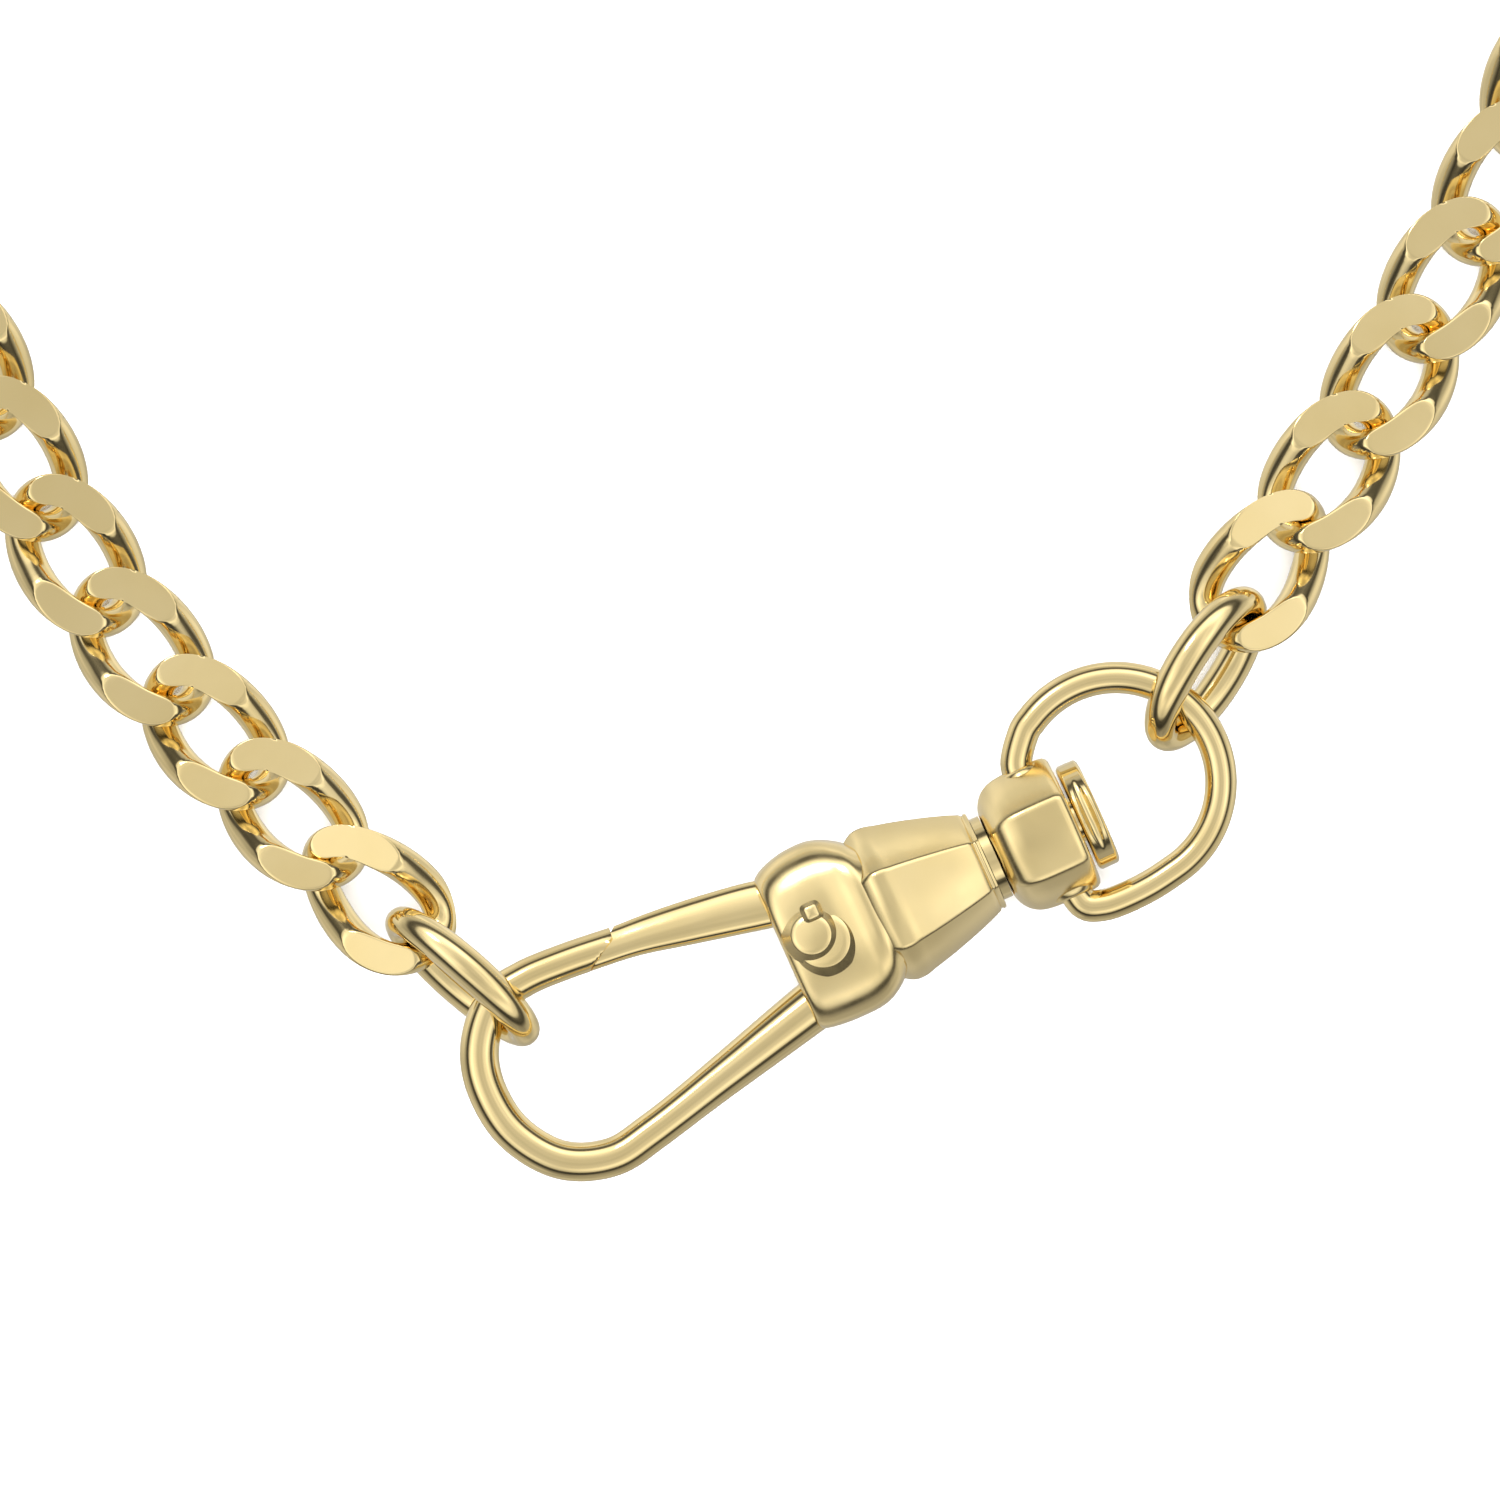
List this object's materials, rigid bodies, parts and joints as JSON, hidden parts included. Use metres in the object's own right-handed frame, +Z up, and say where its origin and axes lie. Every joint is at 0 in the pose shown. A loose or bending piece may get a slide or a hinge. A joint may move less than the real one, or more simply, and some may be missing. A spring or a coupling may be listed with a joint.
{
  "type": "pocket watch chain",
  "caption": "Pocket watch chain lying as a loop: two runs of flat-ground curb links joined by a spring-gate swivel clasp with a round wire bow.",
  "frame": {"origin": "on the table, under the middle of the box around the whole loop", "axes": "+Z up from the table, +Y from the clasp towards the far side of the loop, +X towards the run that hangs on the bow"},
  "size_m": [0.081, 0.0962, 0.0057],
  "materials": {
    "gold": "polished",
    "spring_steel": "satin"
  },
  "bodies": {
    "clasp": {"hook_body": "gold", "gate_pin": "gold", "gate_spring": "spring_steel", "cone_ferrule": "gold", "swivel_post": "gold"},
    "gate": {"gate": "gold"},
    "barrel": {"swivel_barrel": "gold"},
    "bow": {"bow_ring": "gold"},
    "end_link": {"end_link": "gold"},
    "ring_link": {"ring_link": "gold"},
    "left_link_01": {"left_link_01": "gold"},
    "left_link_02": {"left_link_02": "gold"},
    "left_link_03": {"left_link_03": "gold"},
    "left_link_04": {"left_link_04": "gold"},
    "left_link_05": {"left_link_05": "gold"},
    "left_link_06": {"left_link_06": "gold"},
    "left_link_07": {"left_link_07": "gold"},
    "left_link_08": {"left_link_08": "gold"},
    "left_link_09": {"left_link_09": "gold"},
    "left_link_10": {"left_link_10": "gold"},
    "left_link_11": {"left_link_11": "gold"},
    "left_link_12": {"left_link_12": "gold"},
    "left_link_13": {"left_link_13": "gold"},
    "left_link_14": {"left_link_14": "gold"},
    "left_link_15": {"left_link_15": "gold"},
    "left_link_16": {"left_link_16": "gold"},
    "left_link_17": {"left_link_17": "gold"},
    "left_link_18": {"left_link_18": "gold"},
    "left_link_19": {"left_link_19": "gold"},
    "left_link_20": {"left_link_20": "gold"},
    "left_link_21": {"left_link_21": "gold"},
    "left_link_22": {"left_link_22": "gold"},
    "left_link_23": {"left_link_23": "gold"},
    "right_link_01": {"right_link_01": "gold"},
    "right_link_02": {"right_link_02": "gold"},
    "right_link_03": {"right_link_03": "gold"},
    "right_link_04": {"right_link_04": "gold"},
    "right_link_05": {"right_link_05": "gold"},
    "right_link_06": {"right_link_06": "gold"},
    "right_link_07": {"right_link_07": "gold"},
    "right_link_08": {"right_link_08": "gold"},
    "right_link_09": {"right_link_09": "gold"},
    "right_link_10": {"right_link_10": "gold"},
    "right_link_11": {"right_link_11": "gold"},
    "right_link_12": {"right_link_12": "gold"},
    "right_link_13": {"right_link_13": "gold"},
    "right_link_14": {"right_link_14": "gold"},
    "right_link_15": {"right_link_15": "gold"},
    "right_link_16": {"right_link_16": "gold"},
    "right_link_17": {"right_link_17": "gold"},
    "right_link_18": {"right_link_18": "gold"},
    "right_link_19": {"right_link_19": "gold"},
    "right_link_20": {"right_link_20": "gold"},
    "right_link_21": {"right_link_21": "gold"},
    "right_link_22": {"right_link_22": "gold"},
    "right_link_23": {"right_link_23": "gold"}
  },
  "joints": [
    {"name": "barrel_swivel", "type": "hinge", "parent": "clasp", "child": "barrel", "pos_m": [0.01415, -0.03448, 0.00286], "axis": [0.9121, 0.4099, 0], "continuous": true},
    {"name": "bow_swing", "type": "hinge", "parent": "barrel", "child": "bow", "pos_m": [0.0147, -0.03423, 0.00286], "axis": [-0.4099, 0.9121, 0], "range_deg": [-90, 90]},
    {"name": "end_link_swing", "type": "hinge", "parent": "clasp", "child": "end_link", "pos_m": [-0.00742, -0.041, 0.00286], "axis": [0.5425, 0.8401, 0], "range_deg": [-60, 60]},
    {"name": "gate_open", "type": "hinge", "parent": "clasp", "child": "gate", "pos_m": [0.00533, -0.03729, 0.00286], "axis": [0, 0, 1], "range_deg": [0, 26], "stiffness_Nm_per_rad": 0.01, "springref_deg": -20.05},
    {"name": "ring_link_swing", "type": "hinge", "parent": "bow", "child": "ring_link", "pos_m": [0.02017, -0.029, 0.00286], "axis": [-0.766, 0.6428, 0], "range_deg": [-50, 50]},
    {"name": "left_bend_01", "type": "hinge", "parent": "end_link", "child": "left_link_01", "pos_m": [-0.01067, -0.0383, 0.00277], "axis": [-0.6592, -0.7519, 0], "range_deg": [-12, 15]},
    {"name": "left_bend_02", "type": "hinge", "parent": "left_link_01", "child": "left_link_02", "pos_m": [-0.01398, -0.0352, 0.00234], "axis": [0.6905, 0.7234, 0], "range_deg": [-25, 25]},
    {"name": "left_bend_03", "type": "hinge", "parent": "left_link_02", "child": "left_link_03", "pos_m": [-0.01719, -0.03199, 0.00187], "axis": [-0.723, -0.6909, 0], "range_deg": [-25, 25]},
    {"name": "left_bend_04", "type": "hinge", "parent": "left_link_03", "child": "left_link_04", "pos_m": [-0.02022, -0.02862, 0.0014], "axis": [0.7647, 0.6444, 0], "range_deg": [-25, 25]},
    {"name": "left_bend_05", "type": "hinge", "parent": "left_link_04", "child": "left_link_05", "pos_m": [-0.02299, -0.02502, 0.0011], "axis": [-0.819, -0.5738, 0], "range_deg": [-25, 25]},
    {"name": "left_bend_06", "type": "hinge", "parent": "left_link_05", "child": "left_link_06", "pos_m": [-0.02543, -0.0212, 0.00097], "axis": [0.8631, 0.505, 0], "range_deg": [-25, 25]},
    {"name": "left_bend_07", "type": "hinge", "parent": "left_link_06", "child": "left_link_07", "pos_m": [-0.02765, -0.01724, 0.00095], "axis": [-0.8821, -0.471, 0], "range_deg": [-25, 25]},
    {"name": "left_bend_08", "type": "hinge", "parent": "left_link_07", "child": "left_link_08", "pos_m": [-0.02974, -0.01321, 0.00095], "axis": [0.8931, 0.4498, 0], "range_deg": [-25, 25]},
    {"name": "left_bend_09", "type": "hinge", "parent": "left_link_08", "child": "left_link_09", "pos_m": [-0.03174, -0.00914, 0.00095], "axis": [-0.9027, -0.4302, 0], "range_deg": [-25, 25]},
    {"name": "left_bend_10", "type": "hinge", "parent": "left_link_09", "child": "left_link_10", "pos_m": [-0.03363, -0.00501, 0.00095], "axis": [0.9145, 0.4046, 0], "range_deg": [-25, 25]},
    {"name": "left_bend_11", "type": "hinge", "parent": "left_link_10", "child": "left_link_11", "pos_m": [-0.03537, -0.00082, 0.00095], "axis": [-0.9333, -0.359, 0], "range_deg": [-25, 25]},
    {"name": "left_bend_12", "type": "hinge", "parent": "left_link_11", "child": "left_link_12", "pos_m": [-0.03679, 0.00349, 0.00095], "axis": [0.9631, 0.269, 0], "range_deg": [-25, 25]},
    {"name": "left_bend_13", "type": "hinge", "parent": "left_link_12", "child": "left_link_13", "pos_m": [-0.03766, 0.00792, 0.00095], "axis": [-0.9936, -0.1133, 0], "range_deg": [-25, 25]},
    {"name": "left_bend_14", "type": "hinge", "parent": "left_link_13", "child": "left_link_14", "pos_m": [-0.03784, 0.01244, 0.00095], "axis": [0.9995, -0.0327, 0], "range_deg": [-25, 25]},
    {"name": "left_bend_15", "type": "hinge", "parent": "left_link_14", "child": "left_link_15", "pos_m": [-0.03736, 0.01694, 0.00095], "axis": [-0.9837, 0.1797, 0], "range_deg": [-25, 25]},
    {"name": "left_bend_16", "type": "hinge", "parent": "left_link_15", "child": "left_link_16", "pos_m": [-0.03623, 0.02132, 0.00095], "axis": [0.9477, -0.3192, 0], "range_deg": [-25, 25]},
    {"name": "left_bend_17", "type": "hinge", "parent": "left_link_16", "child": "left_link_17", "pos_m": [-0.03448, 0.0255, 0.00095], "axis": [-0.8932, 0.4497, 0], "range_deg": [-25, 25]},
    {"name": "left_bend_18", "type": "hinge", "parent": "left_link_17", "child": "left_link_18", "pos_m": [-0.03218, 0.02939, 0.00095], "axis": [0.8235, -0.5673, 0], "range_deg": [-25, 25]},
    {"name": "left_bend_19", "type": "hinge", "parent": "left_link_18", "child": "left_link_19", "pos_m": [-0.02937, 0.03294, 0.00095], "axis": [-0.7422, 0.6702, 0], "range_deg": [-25, 25]},
    {"name": "left_bend_20", "type": "hinge", "parent": "left_link_19", "child": "left_link_20", "pos_m": [-0.02613, 0.0361, 0.00095], "axis": [0.6511, -0.759, 0], "range_deg": [-25, 25]},
    {"name": "left_bend_21", "type": "hinge", "parent": "left_link_20", "child": "left_link_21", "pos_m": [-0.02252, 0.03884, 0.00095], "axis": [-0.5549, 0.8319, 0], "range_deg": [-25, 25]},
    {"name": "left_bend_22", "type": "hinge", "parent": "left_link_21", "child": "left_link_22", "pos_m": [-0.01861, 0.04113, 0.00095], "axis": [0.4527, -0.8917, 0], "range_deg": [-25, 25]},
    {"name": "left_bend_23", "type": "hinge", "parent": "left_link_22", "child": "left_link_23", "pos_m": [-0.01446, 0.04295, 0.00095], "axis": [-0.3495, 0.9369, 0], "range_deg": [-25, 25]},
    {"name": "right_bend_01", "type": "hinge", "parent": "ring_link", "child": "right_link_01", "pos_m": [0.02239, -0.0256, 0.00277], "axis": [-0.8414, 0.5404, 0], "range_deg": [-12, 15]},
    {"name": "right_bend_02", "type": "hinge", "parent": "right_link_01", "child": "right_link_02", "pos_m": [0.0249, -0.02182, 0.00236], "axis": [0.8273, -0.5618, 0], "range_deg": [-25, 25]},
    {"name": "right_bend_03", "type": "hinge", "parent": "right_link_02", "child": "right_link_03", "pos_m": [0.02739, -0.01803, 0.00188], "axis": [-0.8431, 0.5377, 0], "range_deg": [-25, 25]},
    {"name": "right_bend_04", "type": "hinge", "parent": "right_link_03", "child": "right_link_04", "pos_m": [0.02974, -0.01414, 0.00142], "axis": [0.8683, -0.496, 0], "range_deg": [-25, 25]},
    {"name": "right_bend_05", "type": "hinge", "parent": "right_link_04", "child": "right_link_05", "pos_m": [0.03193, -0.01017, 0.00111], "axis": [-0.8842, 0.467, 0], "range_deg": [-25, 25]},
    {"name": "right_bend_06", "type": "hinge", "parent": "right_link_05", "child": "right_link_06", "pos_m": [0.03391, -0.00609, 0.00097], "axis": [0.9124, -0.4092, 0], "range_deg": [-25, 25]},
    {"name": "right_bend_07", "type": "hinge", "parent": "right_link_06", "child": "right_link_07", "pos_m": [0.03557, -0.00187, 0.00095], "axis": [-0.9476, 0.3195, 0], "range_deg": [-25, 25]},
    {"name": "right_bend_08", "type": "hinge", "parent": "right_link_07", "child": "right_link_08", "pos_m": [0.03681, 0.00249, 0.00095], "axis": [0.9733, -0.2295, 0], "range_deg": [-25, 25]},
    {"name": "right_bend_09", "type": "hinge", "parent": "right_link_08", "child": "right_link_09", "pos_m": [0.03762, 0.00695, 0.00095], "axis": [-0.9921, 0.1256, 0], "range_deg": [-25, 25]},
    {"name": "right_bend_10", "type": "hinge", "parent": "right_link_09", "child": "right_link_10", "pos_m": [0.03791, 0.01147, 0.00095], "axis": [1, -0.0034, 0], "range_deg": [-25, 25]},
    {"name": "right_bend_11", "type": "hinge", "parent": "right_link_10", "child": "right_link_11", "pos_m": [0.03758, 0.01598, 0.00095], "axis": [-0.9891, -0.1475, 0], "range_deg": [-25, 25]},
    {"name": "right_bend_12", "type": "hinge", "parent": "right_link_11", "child": "right_link_12", "pos_m": [0.03659, 0.02039, 0.00095], "axis": [0.957, 0.29, 0], "range_deg": [-25, 25]},
    {"name": "right_bend_13", "type": "hinge", "parent": "right_link_12", "child": "right_link_13", "pos_m": [0.03498, 0.02462, 0.00095], "axis": [-0.9064, -0.4224, 0], "range_deg": [-25, 25]},
    {"name": "right_bend_14", "type": "hinge", "parent": "right_link_13", "child": "right_link_14", "pos_m": [0.03279, 0.02858, 0.00095], "axis": [0.8395, 0.5434, 0], "range_deg": [-25, 25]},
    {"name": "right_bend_15", "type": "hinge", "parent": "right_link_14", "child": "right_link_15", "pos_m": [0.03008, 0.03221, 0.00095], "axis": [-0.7607, -0.6491, 0], "range_deg": [-25, 25]},
    {"name": "right_bend_16", "type": "hinge", "parent": "right_link_15", "child": "right_link_16", "pos_m": [0.02693, 0.03546, 0.00095], "axis": [0.6711, 0.7414, 0], "range_deg": [-25, 25]},
    {"name": "right_bend_17", "type": "hinge", "parent": "right_link_16", "child": "right_link_17", "pos_m": [0.02339, 0.03829, 0.00095], "axis": [-0.5763, -0.8172, 0], "range_deg": [-25, 25]},
    {"name": "right_bend_18", "type": "hinge", "parent": "right_link_17", "child": "right_link_18", "pos_m": [0.01954, 0.04067, 0.00095], "axis": [0.4747, 0.8802, 0], "range_deg": [-25, 25]},
    {"name": "right_bend_19", "type": "hinge", "parent": "right_link_18", "child": "right_link_19", "pos_m": [0.01544, 0.04259, 0.00095], "axis": [-0.3722, -0.9281, 0], "range_deg": [-25, 25]},
    {"name": "right_bend_20", "type": "hinge", "parent": "right_link_19", "child": "right_link_20", "pos_m": [0.01114, 0.04404, 0.00095], "axis": [0.2654, 0.9641, 0], "range_deg": [-25, 25]},
    {"name": "right_bend_21", "type": "hinge", "parent": "right_link_20", "child": "right_link_21", "pos_m": [0.00672, 0.04501, 0.00095], "axis": [-0.1597, -0.9872, 0], "range_deg": [-25, 25]},
    {"name": "right_bend_22", "type": "hinge", "parent": "right_link_21", "child": "right_link_22", "pos_m": [0.00221, 0.04548, 0.00095], "axis": [0.0512, 0.9987, 0], "range_deg": [-25, 25]},
    {"name": "right_bend_23", "type": "hinge", "parent": "right_link_22", "child": "right_link_23", "pos_m": [-0.00232, 0.04547, 0.00095], "axis": [0.0554, -0.9985, 0], "range_deg": [-25, 25]}
  ]
}
